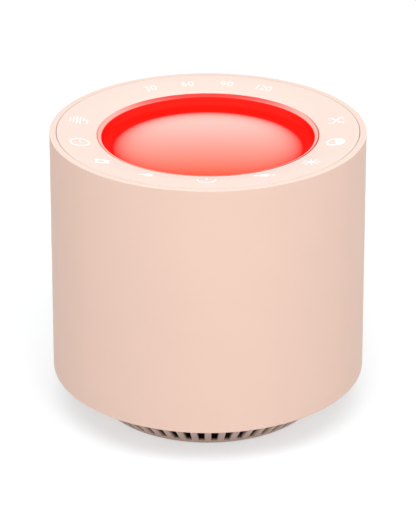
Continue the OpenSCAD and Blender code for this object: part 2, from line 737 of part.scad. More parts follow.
module cone_surround() color(rubber_grey) rotate_extrude() polygon(concat(
  [[speaker_r, lip_z], [speaker_r, frame_z], [roll_mid_r + roll_r - roll_t, frame_z]],
  arc([roll_mid_r, lip_z + lip_t / 2], roll_r - roll_t, 0, -180, 12),
  [[roll_mid_r - roll_r + roll_t, frame_z], [cone_r - cone_rim_w, frame_z], [cone_r - cone_rim_w, lip_z],
   [roll_mid_r - roll_r, lip_z]],
  arc([roll_mid_r, lip_z + lip_t / 2], roll_r, -180, 0, 12),
  [[roll_mid_r + roll_r, lip_z]]
));

module centring_spider() color(cloth_tan) {
  width = spider_out_r - former_out_r;
  waves_w = shelf_in_r - slack - former_out_r - 1;
  line = [for (i = [0:8 * spider_waves]) [former_out_r + 1 + waves_w * i / (8 * spider_waves),
    shelf_z - spider_t + spider_wave * sin(45 * i)]];
  low = concat([[former_out_r, shelf_z - spider_t]], line, [[former_out_r + width, shelf_z - spider_t]]);
  rotate_extrude() polygon(concat(low, [for (i = [len(low) - 1:-1:0]) low[i] + [0, spider_t]]));
}

module speaker_cone() color(paper_dark) rotate_extrude() polygon([
  [cone_r, frame_z], [cone_r, frame_z + cone_t], [cone_r - cone_rim_w + 0.2, frame_z + cone_t],
  [former_out_r, cone_neck_z + cone_t], [former_out_r, cone_neck_z], [cone_r - cone_rim_w, frame_z]
]);

module dust_cap() color(paper_dark) {
  inner_r = cap_r - 0.6;
  rotate_extrude() polygon(concat(
    [for (i = [0:8]) let (r = cap_r * i / 8) [r, cone_z(cap_r) - cap_h * (1 - pow(r / cap_r, 2))]],
    [for (i = [8:-1:0]) let (r = inner_r * i / 8)
      [r, cone_z(inner_r) - (cap_h - cap_t + 0.3) * (1 - pow(r / inner_r, 2))]]
  ));
}

module coil_former() color(former_tan)
  band(former_r, former_out_r, cone_neck_z - slack, winding_z + winding_h + slack);

module voice_coil() color(copper)
  band(former_out_r, former_out_r + winding_t, winding_z, winding_z + winding_h);

module bottom_cover() color(abs_black) difference() {
  union() {
    translate([0, 0, cover_z]) cylinder(r = bore_r(cover_top) - cover_gap, h = cover_t);
    around(ear_angles, speaker_ear_r, cover_z) cylinder(r = boss, h = frame_z - cover_z);
    around(quarter_angles, foot_boss_r, cover_z) cylinder(r = long_boss, h = cover_t + foot_boss_h);
    around(quarter_angles, chamber_ear_r, cover_z) cylinder(r = boss, h = cover_t + chamber_boss_h);
  }
  translate([0, 0, cover_z - cut]) cylinder(r = roll_mid_r + roll_r + slack, h = cover_t + 2 * cut);
  around(ear_angles, speaker_ear_r, cover_z + slack) cylinder(r = bore, h = frame_z - cover_z);
  around(quarter_angles, foot_boss_r, cover_z - cut)
    cylinder(r = long_bore, h = cover_t + foot_boss_h - bore_roof);
  around(quarter_angles, chamber_ear_r, cover_z + 1) cylinder(r = bore, h = cover_t + chamber_boss_h);
  around(cover_screw_angles, cover_screw_r, cover_z - cut) cylinder(r = long_hole, h = cover_t + 2 * cut);
  around(cover_screw_angles, cover_screw_r, cover_z - cut)
    cylinder(r = long_head_r + hole_slack, h = cover_head_depth + cut);
}

module cover_screws() color(zinc) around(cover_screw_angles, cover_screw_r, cover_z + cover_head_depth)
  rotate([180, 0, 0]) screw(long_screw_d, cover_screw_l);

// Half the gap between two bars at radius r
function half_slot(r) = r * tan(slot_angle / 2) - bar_w / 2 / cos(slot_angle / 2);

module foot_slot() {
  near_r = foot_r(slot_z) - foot_wall - slack;
  far_r = foot_r_top + foot_wall;
  translate([0, 0, slot_z]) linear_extrude(slot_h)
    polygon([[near_r, -half_slot(near_r)], [far_r, -half_slot(far_r)],
             [far_r, half_slot(far_r)], [near_r, half_slot(near_r)]]);
}

module foot_grille() color(peach) {
  difference() {
    rotate_extrude() polygon(concat(
      [[0, foot_z], [foot_r(foot_z) - foot_chamfer, foot_z],
       [foot_r(foot_z + foot_chamfer), foot_z + foot_chamfer],
       [foot_r(cover_z), cover_z], [foot_r(cover_z) - foot_wall, cover_z],
       [foot_r(foot_floor_z) - foot_wall, foot_floor_z]],
      [for (i = [0:10]) let (r = deflector_r * (1 - i / 10))
        [r, foot_floor_z + deflector_h * pow(1 - r / deflector_r, 2)]]
    ));
    for (i = [0:slot_count - 1]) rotate([0, 0, slot_angle * (i + 0.5) - 90]) foot_slot();
    band(rubber_mid_r - rubber_w / 2, rubber_mid_r + rubber_w / 2, foot_z - cut, groove_z);
    around(quarter_angles, foot_boss_r, groove_z - cut)
      cylinder(r = long_head_r + hole_slack, h = foot_head_seat);
  }
  difference() {
    around(quarter_angles, foot_boss_r, groove_z) cylinder(r = pillar_r, h = cover_z - groove_z);
    around(quarter_angles, foot_boss_r, groove_z - cut) cylinder(r = long_hole, h = cover_z);
    around(quarter_angles, foot_boss_r, groove_z - cut)
      cylinder(r = long_head_r + hole_slack, h = foot_head_seat - groove_z + cut);
  }
}

module foot_screws() color(zinc)
  around(quarter_angles, foot_boss_r, foot_head_seat) rotate([180, 0, 0]) screw(long_screw_d, foot_screw_l);

module rubber_foot() color(rubber_grey)
  band(rubber_mid_r - rubber_w / 2 + bore_slack, rubber_mid_r + rubber_w / 2 - bore_slack, 0, groove_z);

outer_shell();
control_ring();
ring_adhesive();
light_diffuser();
touch_board();
touch_chip();
timer_leds();
light_cup();
cup_screws();
led_board();
light_leds();
led_board_screws();
touch_lead();
led_lead();
main_board();
controller_chip();
sound_memory();
amplifier_chip();
filter_coil();
capacitors();
board_sockets();
lead_plugs();
main_board_screws();
power_board();
usb_c_shell();
usb_c_tongue();
power_board_screws();
power_lead();
speaker_chamber();
chamber_gasket();
chamber_screws();
lead_grommet();
speaker_lead();
speaker_basket();
speaker_gasket();
speaker_top_plate();
speaker_magnet();
speaker_yoke();
speaker_terminals();
speaker_screws();
cone_surround();
centring_spider();
speaker_cone();
dust_cap();
coil_former();
voice_coil();
bottom_cover();
cover_screws();
foot_grille();
foot_screws();
rubber_foot();
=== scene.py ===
import math

import bmesh
import bpy
from mathutils import Matrix, Vector


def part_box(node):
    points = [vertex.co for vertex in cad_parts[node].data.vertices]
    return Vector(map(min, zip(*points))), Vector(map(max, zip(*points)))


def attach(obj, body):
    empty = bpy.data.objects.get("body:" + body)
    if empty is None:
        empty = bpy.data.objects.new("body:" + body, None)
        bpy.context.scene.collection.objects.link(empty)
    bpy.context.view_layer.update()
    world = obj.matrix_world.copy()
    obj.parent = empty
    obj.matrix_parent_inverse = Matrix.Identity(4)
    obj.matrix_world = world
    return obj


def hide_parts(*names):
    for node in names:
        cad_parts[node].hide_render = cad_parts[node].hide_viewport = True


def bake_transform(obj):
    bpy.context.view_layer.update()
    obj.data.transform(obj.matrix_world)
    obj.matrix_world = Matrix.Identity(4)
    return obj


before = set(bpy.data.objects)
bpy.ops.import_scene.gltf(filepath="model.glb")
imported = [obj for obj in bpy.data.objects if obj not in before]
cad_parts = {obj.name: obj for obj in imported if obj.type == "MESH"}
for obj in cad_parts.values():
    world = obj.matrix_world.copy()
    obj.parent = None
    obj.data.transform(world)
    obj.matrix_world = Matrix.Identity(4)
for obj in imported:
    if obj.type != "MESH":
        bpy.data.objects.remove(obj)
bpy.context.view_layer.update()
MM = 0.001

# ---------------------------------------------------------------------------
# Camera
# A long lens looks down on the machine's front from about arm's length, so
# that its sides hardly converge.
# ---------------------------------------------------------------------------
LOOK_DOWN = math.radians(25.108)
CAMERA_DISTANCE = 721.2 * MM
FOCAL_LENGTH = 156.86
AIM = Vector((0, 0, 46.96 * MM))

camera_data = bpy.data.cameras.new("camera")
camera_data.lens = FOCAL_LENGTH
camera = bpy.data.objects.new("camera", camera_data)
camera.location = AIM + CAMERA_DISTANCE * Vector((0, -math.cos(LOOK_DOWN), math.sin(LOOK_DOWN)))
camera.rotation_euler = (math.pi / 2 - LOOK_DOWN, 0, 0)
bpy.context.scene.collection.objects.link(camera)
bpy.context.scene.camera = camera
bpy.context.scene.view_settings.view_transform = "Standard"


# ---------------------------------------------------------------------------
# Studio
# A white floor that runs into a white backdrop, one wide soft lamp overhead,
# a tall one at each side of the front and a small one behind the camera.
# ---------------------------------------------------------------------------
class Wire:
    """One socket of a node tree. Operators on it add Math nodes, node() adds any other."""

    def __init__(self, tree, socket=None):
        self.tree = tree
        self.socket = socket

    def node(self, kind, settings=None, inputs=None, output=0):
        made = self.tree.nodes.new("ShaderNode" + kind)
        for name, value in (settings or {}).items():
            setattr(made, name, value)
        for name, value in (inputs or {}).items():
            if isinstance(value, Wire):
                self.tree.links.new(value.socket, made.inputs[name])
            else:
                made.inputs[name].default_value = value
        return Wire(self.tree, made.outputs[output] if made.outputs else None)

    def math(self, operation, *values):
        return self.node("Math", {"operation": operation}, dict(enumerate(values)))

    def __add__(self, other):
        return self.math("ADD", self, other)

    def __radd__(self, other):
        return self.math("ADD", other, self)

    def __sub__(self, other):
        return self.math("SUBTRACT", self, other)

    def __rsub__(self, other):
        return self.math("SUBTRACT", other, self)

    def __mul__(self, other):
        return self.math("MULTIPLY", self, other)

    def __rmul__(self, other):
        return self.math("MULTIPLY", other, self)

    def __truediv__(self, other):
        return self.math("DIVIDE", self, other)

    def __rtruediv__(self, other):
        return self.math("DIVIDE", other, self)

    def __pow__(self, other):
        return self.math("POWER", self, other)

    def step(self, low, high):
        """0 up to low, 1 from high on, and a smooth rise between."""
        return self.node("MapRange", {"interpolation_type": "SMOOTHSTEP"}, {0: self, 1: low, 2: high})

    def between(self, first, second):
        """A colour that goes from first to second as this value goes from 0 to 1."""
        return self.node("Mix", {"data_type": "RGBA"}, {0: self, 6: first, 7: second}, output=2)

    def axis(self, name):
        return self.node("SeparateXYZ", inputs={0: self}, output=name)

    def noise(self, size, detail=2.0):
        """Soft noise from 0 to 1 with spots of about that size in metres."""
        return self.node("TexNoise", inputs={"Vector": self, "Scale": 1 / size, "Detail": detail})


def rgb(red, green, blue):
    """A linear colour from the values that a screen shows, 0 to 255."""
    shown = [value / 255 for value in (red, green, blue)]
    return [v / 12.92 if v <= 0.04045 else ((v + 0.055) / 1.055) ** 2.4 for v in shown] + [1.0]


WHITE = rgb(255, 255, 255)
FLOOR_SIDE = 8.0
FLOOR_GREY = [0.4, 0.4, 0.4, 1.0]
FLOOR_GREY_SEEN = [0.575, 0.592, 0.602, 1.0]
FLOOR_GLOW = 0.48
FAR_FLOOR = 0.5, 1.5
FAR_GLOW = 0.4
ROOM_LIGHT = 0.6


def seen(tree):
    """1 where it is seen, also mirrored or through glass, and 0 where it lights other things."""
    straight, mirrored, through = (
        tree.node("LightPath", output=f"Is {name} Ray") for name in ("Camera", "Glossy", "Transmission")
    )
    return tree.math("MINIMUM", straight + mirrored + through, 1.0)


floor_mesh = bmesh.new()
bmesh.ops.create_grid(floor_mesh, x_segments=1, y_segments=1, size=FLOOR_SIDE / 2)
floor_data = bpy.data.meshes.new("floor")
floor_mesh.to_mesh(floor_data)
floor = bpy.data.objects.new("floor", floor_data)
bpy.context.scene.collection.objects.link(floor)

floor_paint = bpy.data.materials.new("floor_paint")
floor_paint.use_nodes = True
floor_paint.node_tree.nodes.clear()
tree = Wire(floor_paint.node_tree)
view = seen(tree)
lit = tree.node("BsdfDiffuse", inputs={"Color": view.between(FLOOR_GREY, FLOOR_GREY_SEEN)})
place = tree.node("TexCoord", output="Object")
across, along = (place.axis(name) for name in "XY")
far = ((across * across + along * along) ** 0.5).step(*FAR_FLOOR)
strength = view * (FLOOR_GLOW + far * FAR_GLOW)
glow = tree.node("Emission", inputs={"Color": WHITE, "Strength": strength})
tree.node("OutputMaterial", inputs={"Surface": lit.node("AddShader", inputs={0: lit, 1: glow})})
floor_data.materials.append(floor_paint)

world = bpy.data.worlds.new("backdrop")
world.use_nodes = True
world.node_tree.nodes.clear()
tree = Wire(world.node_tree)
strength = ROOM_LIGHT + seen(tree) * (1 - ROOM_LIGHT)
backdrop = tree.node("Background", inputs={"Color": WHITE, "Strength": strength})
tree.node("OutputWorld", inputs={"Surface": backdrop})
bpy.context.scene.world = world


def lamp(name, turn, rise, distance, size, power):
    """A soft lamp that faces the machine, turned from the front and raised by angles in degrees."""
    data = bpy.data.lights.new(name, "AREA")
    data.shape = "RECTANGLE"
    data.size, data.size_y = size
    data.energy = power
    raised = Matrix.Rotation(-math.radians(rise), 3, "X") @ Vector((0, -1, 0))
    way = Matrix.Rotation(math.radians(turn), 3, "Z") @ raised
    made = bpy.data.objects.new(name, data)
    made.location = AIM + distance * way
    made.rotation_euler = way.to_track_quat("Z", "Y").to_euler()
    bpy.context.scene.collection.objects.link(made)


lamp("lamp_overhead", turn=0, rise=62, distance=1.1, size=(0.9, 0.6), power=5.1)
lamp("lamp_left", turn=-56, rise=32, distance=1.2, size=(0.15, 0.5), power=1.7)
lamp("lamp_right", turn=66, rise=32, distance=1.2, size=(0.15, 0.5), power=2.5)
lamp("lamp_front", turn=0, rise=24, distance=1.3, size=(0.25, 0.3), power=2.9)


# ---------------------------------------------------------------------------
# Shell
# A slightly tapered drum, moulded in satin peach plastic with a fine spark-
# eroded texture. Everything else is put into it from its top or its open end.
# ---------------------------------------------------------------------------
SHELL_DARK = rgb(241, 208, 192)
SHELL_PALE = rgb(244, 211, 195)
# Painted highlight: the rim's paler colour and the heights over which it comes in
RIM_PAINTED_HIGHLIGHT = rgb(238, 214, 202)
RIM_HIGHLIGHT_RISE = 91.85, 91.98


def material(name, recipe):
    """A material whose recipe gives the shader's inputs, from the object's own coordinates."""
    made = bpy.data.materials.new(name)
    made.use_nodes = True
    made.node_tree.nodes.clear()
    place = Wire(made.node_tree).node("TexCoord", output="Object")
    shader = place.node("BsdfPrincipled", inputs=recipe(place))
    place.node("OutputMaterial", inputs={"Surface": shader})
    return made


def bump(height, depth):
    """A bent normal for a surface whose height runs from 0 to 1 over a depth in metres."""
    return height.node("Bump", inputs={"Height": height, "Strength": 1.0, "Distance": depth})


def dress(paint, *names):
    """Gives CAD nodes a material in place of their own."""
    for name in names:
        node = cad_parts[name]
        node.data.materials.clear()
        node.data.materials.append(paint)


def shell_plastic(place):
    grain = place.noise(0.12 * MM)
    flow = place.noise(18 * MM)
    # Painted highlight: the rim's top is paler than the rest of the shell
    rim = (place.axis("Z") / MM).step(*RIM_HIGHLIGHT_RISE)
    return {
        "Base Color": rim.between(flow.between(SHELL_DARK, SHELL_PALE), RIM_PAINTED_HIGHLIGHT),
        "Roughness": 0.42 + grain * 0.08,
        "Specular IOR Level": 0.1,
        "Normal": bump(grain, 0.003 * MM),
    }


shell_paint = material("shell_plastic", shell_plastic)
dress(shell_paint, "outer_shell")


# ---------------------------------------------------------------------------
# Touch ring
# One smooth crowned moulding in a paler peach, which bears all the signs. It
# is taped to the ledge inside the shell's rim.
# ---------------------------------------------------------------------------
RING_DARK = rgb(239, 216, 205)
RING_PALE = rgb(241, 218, 207)
RING_DROP = 1.5
RING_EDGE = 0.3
RING_EDGE_END = 104
RING_STEPS = 24
RING_W = 12.4
MERGE = 0.001

ring_low, ring_high = (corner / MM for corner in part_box("control_ring"))
ring_r = ring_high.x
ring_top = ring_high.z
ring_seat = ring_low.z
ring_bore_r = ring_r - RING_W


def ring_z(radius):
    """Height of the crowned top at a radius, both in millimetres."""
    return ring_top - RING_DROP * ((ring_r - radius) / RING_W) ** 2


def arc(centre_r, centre_z, radius, start, end, steps=12):
    """Points on an arc from one angle to another, in degrees."""
    angles = [math.radians(start + (end - start) * i / steps) for i in range(steps + 1)]
    return [(centre_r + radius * math.cos(a), centre_z + radius * math.sin(a)) for a in angles]


def piece(name, mesh, paint, body="cabinet", sharp=40):
    """An object of a finished bmesh, smooth but for its sharp edges, riding on a body or on none."""
    data = bpy.data.meshes.new(name)
    mesh.to_mesh(data)
    mesh.free()
    data.shade_smooth()
    data.set_sharp_from_angle(angle=math.radians(sharp))
    data.materials.append(paint)
    made = bpy.data.objects.new(name, data)
    bpy.context.scene.collection.objects.link(made)
    if body:
        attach(made, body)
    return made


def turned(outline, steps=240, start=0, end=360):
    """A closed outline of radii and heights in millimetres, turned from one angle to another."""
    mesh = bmesh.new()
    line = [mesh.verts.new((r * MM, 0, z * MM)) for r, z in outline]
    pairs = zip(line, line[1:] + line[:1])
    sides = [mesh.edges.new(pair) for pair in pairs if max(v.co.x for v in pair) > 0]
    to_start = Matrix.Rotation(math.radians(start), 3, "Z")
    bmesh.ops.rotate(mesh, verts=line, cent=(0, 0, 0), matrix=to_start)
    full = end - start == 360
    bmesh.ops.spin(
        mesh, geom=line + sides, axis=(0, 0, 1), cent=(0, 0, 0),
        angle=math.radians(end - start), steps=steps, use_merge=full,
    )
    if not full:
        bmesh.ops.holes_fill(mesh, edges=[edge for edge in mesh.edges if edge.is_boundary], sides=0)
    bmesh.ops.remove_doubles(mesh, verts=mesh.verts, dist=MERGE * MM)
    bmesh.ops.recalc_face_normals(mesh, faces=mesh.faces)
    return mesh


def ring_plastic(place):
    grain = place.noise(0.15 * MM)
    return {
        "Base Color": grain.between(RING_DARK, RING_PALE),
        "Roughness": 0.48 + grain * 0.06,
        "Specular IOR Level": 0.2,
        "Normal": bump(grain, 0.002 * MM),
    }


edge_r = ring_bore_r + RING_EDGE
ring_outline = [(ring_r, ring_seat), (ring_bore_r, ring_seat)]
ring_outline += arc(edge_r, ring_z(edge_r) - RING_EDGE, RING_EDGE, 180, RING_EDGE_END, 8)
crown_radii = [edge_r + (ring_r - edge_r) * i / RING_STEPS for i in range(1, RING_STEPS + 1)]
ring_outline += [(r, ring_z(r)) for r in crown_radii]
ring_paint = material("ring_plastic", ring_plastic)
ring = piece("touch_ring", turned(ring_outline), ring_paint)
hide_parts("control_ring")


# ---------------------------------------------------------------------------
# Touch signs
# Nine signs and four timer lengths in minutes, printed in white ink on the
# ring. The pads on the board under them feel the finger through the plastic.
# ---------------------------------------------------------------------------
INK_DEPTH = 0.03
LINE_W = 0.5
STROKE_TURN = 8
NUMBER_R = 40.4
NUMBER_SIZE = 4.5
NUMBER_THINNING = -0.05
NUMBER_SPACING = {2: 1.02, 3: 0.9}


def ink(place):
    speckle = place.noise(0.1 * MM)
    return {
        "Base Color": speckle.between(rgb(250, 250, 250), WHITE),
        "Roughness": 0.45 + speckle * 0.1,
    }


ink_paint = material("white_ink", ink)


def bar(mesh, x, y, width, height, turn=0):
    """A flat bar round its middle, turned by an angle in degrees."""
    matrix = Matrix.Translation((x, y, 0)) @ Matrix.Rotation(math.radians(turn), 4, "Z")
    matrix = matrix @ Matrix.Diagonal((width, height, 1, 1))
    bmesh.ops.create_grid(mesh, x_segments=1, y_segments=1, size=0.5, matrix=matrix)


def stroke(mesh, x, y, radius, start=0, end=360, width=LINE_W):
    """A round stroke between two angles in degrees. A width of twice the radius fills it."""
    turn = math.radians(start)
    radii = radius - width / 2, radius + width / 2
    ends = [mesh.verts.new((x + r * math.cos(turn), y + r * math.sin(turn), 0)) for r in radii]
    edge = mesh.edges.new(ends)
    bmesh.ops.spin(
        mesh, geom=ends + [edge], axis=(0, 0, 1), cent=(x, y, 0), angle=math.radians(end - start),
        steps=max(6, round((end - start) / STROKE_TURN)), use_merge=end - start == 360,
    )


def print_on_ring(name, mesh, angle, radius, turn=0):
    """Lays a flat drawing in millimetres on the crowned ring and gives it the ink's thickness."""
    bmesh.ops.remove_doubles(mesh, verts=mesh.verts, dist=MERGE)
    spot = Matrix.Rotation(math.radians(angle), 4, "Z") @ Vector((radius, 0, 0))
    mesh.transform(Matrix.Translation(spot) @ Matrix.Rotation(math.radians(turn), 4, "Z"))
    bmesh.ops.recalc_face_normals(mesh, faces=mesh.faces)
    bmesh.ops.solidify(mesh, geom=mesh.faces, thickness=INK_DEPTH)
    levels = {vert: vert.co.z for vert in mesh.verts}
    lowest = min(levels.values())
    for vert, level in levels.items():
        vert.co.z = ring_z(vert.co.xy.length) + level - lowest
    mesh.transform(Matrix.Scale(MM, 4))
    bmesh.ops.recalc_face_normals(mesh, faces=mesh.faces)
    return piece(name, mesh, ink_paint, sharp=30)


# Sound waves: bars of different lengths
sign = bmesh.new()
wave_bars = [(2.6, 0.5), (4.4, 0.3), (5.4, 0), (5.4, 0), (2.4, 1), (3.2, -0.4)]
for step, (length, lift) in enumerate(wave_bars):
    bar(sign, (step - 2.5) * 1.05, lift, 0.45, length)
print_on_ring("sign_sound", sign, 169.2, 41.2)

# Timer: a clock with two hands
sign = bmesh.new()
stroke(sign, 0, 0, 2.9, width=0.55)
bar(sign, 0, 0.7, 0.3, 1.5)
bar(sign, 0.55, 0, 1.1, 0.3)
print_on_ring("sign_timer", sign, 194.6, 40.5)

# Memory: a small case with a wide right side
sign = bmesh.new()
for side in (-1, 1):
    bar(sign, -0.4, side * 1.3, 3.4, 0.9)
bar(sign, -1.75, 0, 0.7, 3.5)
bar(sign, 1.35, 0, 1.5, 3.2)
print_on_ring("sign_memory", sign, 218.9, 40.7)

# Softer: a small loudspeaker with a minus
sign = bmesh.new()
bar(sign, -1.7, 0.1, 1.8, 0.5)
stroke(sign, 0.6, 0, 0.75, 90, 270, 1.5)
bar(sign, 1.1, 0, 1.0, 2.6)
print_on_ring("sign_softer", sign, 243.3, 40.1)

# Power: a broken circle with a bar in its gap
sign = bmesh.new()
stroke(sign, 0, 0, 2.7, 160, 380)
bar(sign, 0, 1.3, 0.6, 2.6)
print_on_ring("sign_power", sign, 269.4, 39.5)

# Louder: a small loudspeaker with a plus
sign = bmesh.new()
bar(sign, -2.2, 0, 2.0, 1.0)
bar(sign, -0.7, 0, 1.2, 2.1)
stroke(sign, 0, 0, 0.75, -90, 90, 1.5)
for width, height in [(1.2, 0.4), (0.4, 1.3)]:
    bar(sign, 2.8, 0, width, height)
print_on_ring("sign_louder", sign, 294.8, 39.7)

# Brightness: a sun
sign = bmesh.new()
stroke(sign, 0, 0, 0.55, 0, 360, 1.1)
for turn in range(0, 360, 45):
    ray = Matrix.Rotation(math.radians(turn), 3, "Z") @ Vector((2.1, 0, 0))
    bar(sign, ray.x, ray.y, 1.4, 0.4, turn)
print_on_ring("sign_brightness", sign, 319.9, 40.4)

# Light colour: a circle with one half filled
sign = bmesh.new()
stroke(sign, 0, 0, 2.65, 90, 270, 0.7)
stroke(sign, 0, 0, 1.5, -90, 90, 3.0)
print_on_ring("sign_colour", sign, 345.6, 40.3)

# Play in any order: two crossing arrows
sign = bmesh.new()
for side in (-1, 1):
    bar(sign, 0, 0, 4.4, 0.5, side * 58)
    bar(sign, -1.8, side * 1.85, 1.3, 0.5)
    bar(sign, 1.6, side * 1.85, 1.0, 0.5)
    bar(sign, 2.0, side * 1.85, 0.9, 0.9, 45)
print_on_ring("sign_order", sign, 10.6, 40.8)

# Timer lengths
for minutes, angle in {30: 117.4, 60: 99.5, 90: 81.4, 120: 63.8}.items():
    text = bpy.data.curves.new("minutes", "FONT")
    text.body = str(minutes)
    text.size = NUMBER_SIZE
    text.offset = NUMBER_THINNING
    text.space_character = NUMBER_SPACING[len(text.body)]
    text.align_x = "CENTER"
    text.align_y = "CENTER"
    text.resolution_u = 4
    letters = bpy.data.objects.new("minutes", text)
    flat = bpy.data.meshes.new_from_object(letters)
    number = bmesh.new()
    number.from_mesh(flat)
    bpy.data.objects.remove(letters)
    print_on_ring(f"number_{minutes}", number, angle, NUMBER_R, angle - 90)


# ---------------------------------------------------------------------------
# Touch board, timer lamps and bonding tape
# A ring-shaped board with the touch pads is bonded under the ring, with its
# controller and a lamp behind each number. Black tape bonds ring to shell.
# ---------------------------------------------------------------------------
TRACK_LENGTH = 3.1
TRACK_PITCH = 0.8
TRACK_GAP = 0.09
HOLES_PER_MM = 0.45
HOLE_EDGE = 0.14, 0.17
TINNED = rgb(208, 208, 202)


def grained(size, dark, light, rough, depth, metallic=0.0):
    """A recipe with fine grain between two close colours, which roughens and lifts the surface too."""

    def recipe(place):
        grain = place.noise(size * MM)
        return {
            "Base Color": grain.between(rgb(*dark), rgb(*light)),
            "Roughness": rough + grain * 0.1,
            "Metallic": metallic,
            "Normal": bump(grain, depth * MM),
        }

    return recipe


def solder_mask(dark, light):
    """A recipe for a board: lacquer that shows the copper tracks under it, and tinned holes."""

    def recipe(place):
        layout = {
            "Vector": place,
            "Scale": 1 / MM,
            "Mortar Size": TRACK_GAP,
            "Brick Width": TRACK_LENGTH,
            "Row Height": TRACK_PITCH,
        }
        tracks = place.node("TexBrick", {"offset": 0.4}, layout, output="Fac")
        spread = {"Vector": place, "Scale": HOLES_PER_MM / MM}
        spots = place.node("TexVoronoi", {"voronoi_dimensions": "2D"}, spread)
        tinned = 1 - spots.step(*HOLE_EDGE)
        lacquer = tracks.between(rgb(*dark), rgb(*light))
        return {
            "Base Color": tinned.between(lacquer, TINNED),
            "Roughness": 0.3 + tinned * 0.1,
            "Metallic": tinned,
            "Normal": bump(tracks, 0.02 * MM),
        }

    return recipe


bonding_tape = material("bonding_tape", grained(0.4, (40, 40, 42), (56, 56, 58), 0.85, 0.03))
dress(bonding_tape, "ring_adhesive")
green_lacquer = material("green_lacquer", solder_mask((12, 74, 42), (26, 106, 64)))
dress(green_lacquer, "touch_board")
chip_epoxy = material("chip_epoxy", grained(0.15, (22, 22, 23), (34, 34, 35), 0.65, 0.004))
dress(chip_epoxy, "touch_chip")
lamp_resin = material("lamp_resin", grained(0.3, (250, 242, 206), (255, 250, 228), 0.25, 0.002))
dress(lamp_resin, "timer_leds", "light_leds")


# ---------------------------------------------------------------------------
# Light dish
# A translucent diffuser, bonded under the ring's inner edge. Coloured lamps
# below it fill its floor, its steep wall and its rounded lip with red light.
# The glow also carries a painted reflection, painted highlights and painted shade.
# ---------------------------------------------------------------------------
LIP_R = 1.3
DISH_DEPTH = 4.7
DISH_DOME = 0.8
DISH_WALL = 1.6
FLANGE_T = 1.8
DISH_GAP = 0.15
FILLET_TOP = -4
FILLET_FOOT = -88
GLOW_NEAR = rgb(254, 93, 58)
GLOW_FAR_REFLECTION = rgb(254, 207, 197)
GLOW_WALL = rgb(254, 34, 26)
GLOW_WALL_LOW_SHADE = rgb(254, 20, 10)
GLOW_WALL_SIDE_SHADE = rgb(254, 8, 1)
GLOW_LIP_HIGHLIGHT = rgb(252, 187, 175)
GLOW_LIP_BACK = rgb(252, 80, 74)
GLOW_SEAM_SHADE = rgb(200, 84, 74)
# Where each glow, painted highlight and painted shade changes, in millimetres from the middle, the
# floor, the lip's foot or the rim
FADE_START = -26
FADE_LENGTH = 45
EDGE_FALL = 7
EDGE_FALL_BACK = 3
FLOOR_BACK = 0, 28
WALL_BACK = 0, 24
WALL_SHADE = 0.7
LIP_BACK = 14, 34
LIP_RISE = 0.3, 0.7
HIGHLIGHT_DROP = 0.95
HIGHLIGHT_HALF = 0.22
HIGHLIGHT_START = 16, 24
HIGHLIGHT_END = 28, 34
HIGHLIGHT_STRENGTH = 0.45
SEAM_EDGE = -0.25, -0.15
SEAM_END = 5, 25
SEAM_SIDE = -10, 10
SEAM_WEAK = 0.4

flange_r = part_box("light_diffuser")[1].x / MM
rim_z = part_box("light_diffuser")[1].z / MM
rim_r = ring_bore_r - DISH_GAP
fillet_r = DISH_DEPTH - LIP_R
floor_r = rim_r - LIP_R - fillet_r
floor_z = rim_z - DISH_DEPTH
fillet_z = floor_z + fillet_r
flange_turn = math.degrees(math.asin((ring_seat - FLANGE_T - fillet_z) / (fillet_r + DISH_WALL)))


def dome(height, steps=16):
    """The bulged floor from the middle out, over a height at its edge."""
    radii = [floor_r * i / steps for i in range(steps)]
    return [(r, height + DISH_DOME * (1 - (r / floor_r) ** 2)) for r in radii]


dish_outline = dome(floor_z - DISH_WALL)
dish_outline += arc(floor_r, fillet_z, fillet_r + DISH_WALL, FILLET_FOOT, flange_turn)
dish_outline += [(flange_r, ring_seat - FLANGE_T), (flange_r, ring_seat), (rim_r, ring_seat)]
dish_outline += arc(rim_r, rim_z - LIP_R, LIP_R, 90, 180, 16)
dish_outline += arc(floor_r, fillet_z, fillet_r, FILLET_TOP, FILLET_FOOT, 16)
dish_outline += dome(floor_z)[::-1]


def stripe(height, middle, half):
    """1 in the middle of a level stripe, and a soft fall to 0 on both sides."""
    off = (height - middle) / half
    return 1 / (1 + off * off * off * off)


